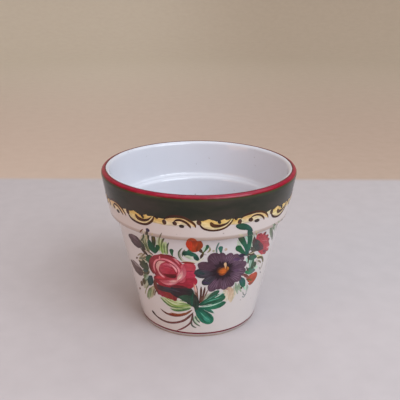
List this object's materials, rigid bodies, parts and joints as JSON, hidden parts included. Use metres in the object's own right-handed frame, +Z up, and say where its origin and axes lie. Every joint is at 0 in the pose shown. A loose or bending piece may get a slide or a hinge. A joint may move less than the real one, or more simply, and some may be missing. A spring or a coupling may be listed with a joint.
{
  "type": "cachepot",
  "caption": "Glazed earthenware cachepot in flower-pot shape with a wide collar, painted bands, a scroll border and a spray of flowers; holds a plant in its nursery pot.",
  "frame": {"origin": "centre of the foot ring, on the surface that the pot stands on", "axes": "+Z up along the pot's axis; the painted flowers face -Y; +X to the right as the flowers are seen"},
  "size_m": [0.1346, 0.1346, 0.112],
  "materials": {
    "biscuit_clay": "unglazed fired earthenware, matt",
    "white_glaze": "glossy white tin glaze",
    "crimson_enamel": "glossy brushed enamel",
    "dark_green_enamel": "glossy mottled enamel, dark green over brown",
    "yellow_enamel": "glossy brushed enamel",
    "brown_enamel": "glossy brushed enamel",
    "orange_enamel": "glossy brushed enamel",
    "purple_enamel": "glossy brushed enamel",
    "pink_enamel": "glossy brushed enamel",
    "shade_enamel": "glossy brushed enamel",
    "rose_enamel": "glossy brushed enamel",
    "plum_enamel": "glossy brushed enamel",
    "leaf_green_enamel": "glossy brushed enamel",
    "pale_green_enamel": "thin glossy enamel",
    "stem_brown_enamel": "glossy brushed enamel",
    "grass_green_enamel": "thin glossy enamel"
  },
  "bodies": {
    "root": {"clay_body": "biscuit_clay", "outer_glaze": "white_glaze", "inner_glaze": "white_glaze", "base_glaze": "white_glaze", "rim_line": "crimson_enamel", "foot_line": "crimson_enamel", "green_band": "dark_green_enamel", "yellow_border": "yellow_enamel", "scroll_outlines": "brown_enamel", "daisy_heart": "orange_enamel", "daisy_petals": "purple_enamel", "rose_highlights": "pink_enamel", "rose_shading": "shade_enamel", "rose_petals": "rose_enamel", "orange_buds": "orange_enamel", "carnation": "rose_enamel", "purple_buds": "plum_enamel", "dark_leaves": "leaf_green_enamel", "pale_leaves": "pale_green_enamel", "stems": "stem_brown_enamel", "grass": "grass_green_enamel", "swirls": "stem_brown_enamel"}
  },
  "joints": []
}
